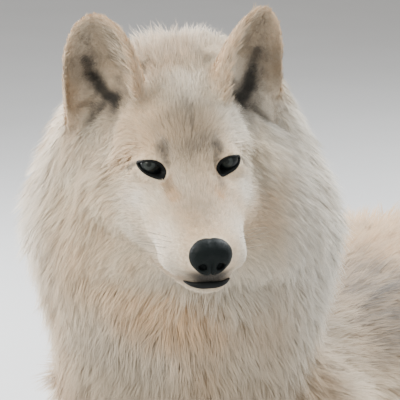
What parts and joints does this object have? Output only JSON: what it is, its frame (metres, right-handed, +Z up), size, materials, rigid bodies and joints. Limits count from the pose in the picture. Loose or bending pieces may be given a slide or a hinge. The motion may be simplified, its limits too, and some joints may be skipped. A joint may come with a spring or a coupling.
{
  "type": "arctic wolf",
  "caption": "Arctic wolf lying on its belly with the head raised and turned, thick ruff, ears up, forelegs stretched forwards and the tail curled on the floor.",
  "frame": {"origin": "middle of the animal's footprint, on the floor", "axes": "+Z up; +Y from the chest towards the tail, along the trunk; +X towards the wolf's left side"},
  "size_m": [0.5866, 1.3262, 0.7462],
  "materials": {
    "coat": "long soft fur, creamy white with buff and grey tints",
    "nose_leather": "fine pebbled, slightly moist, near black",
    "eye": "wet gloss, dark iris",
    "claw": "dark satin horn"
  },
  "bodies": {
    "root": {"barrel": "coat", "chest": "coat", "claw_forepaw_left_1": "claw", "claw_forepaw_left_2": "claw", "claw_forepaw_left_3": "claw", "claw_forepaw_left_4": "claw", "claw_forepaw_right_1": "claw", "claw_forepaw_right_2": "claw", "claw_forepaw_right_3": "claw", "claw_forepaw_right_4": "claw", "claw_hindfoot_left_1": "claw", "claw_hindfoot_left_2": "claw", "claw_hindfoot_left_3": "claw", "claw_hindfoot_left_4": "claw", "claw_hindfoot_right_1": "claw", "claw_hindfoot_right_2": "claw", "claw_hindfoot_right_3": "claw", "claw_hindfoot_right_4": "claw", "ear_left": "coat", "ear_right": "coat", "eye_left": "eye", "eye_right": "eye", "forearm_left": "coat", "forearm_right": "coat", "foreleg_upper_left": "coat", "foreleg_upper_right": "coat", "forepaw_left": "coat", "forepaw_right": "coat", "head": "coat", "hindfoot_left": "coat", "hindfoot_right": "coat", "lower_jaw": "coat", "neck": "coat", "nose": "nose_leather", "rump": "coat", "tail_base": "coat", "tail_end": "coat", "thigh_left": "coat", "thigh_right": "coat"}
  },
  "joints": []
}
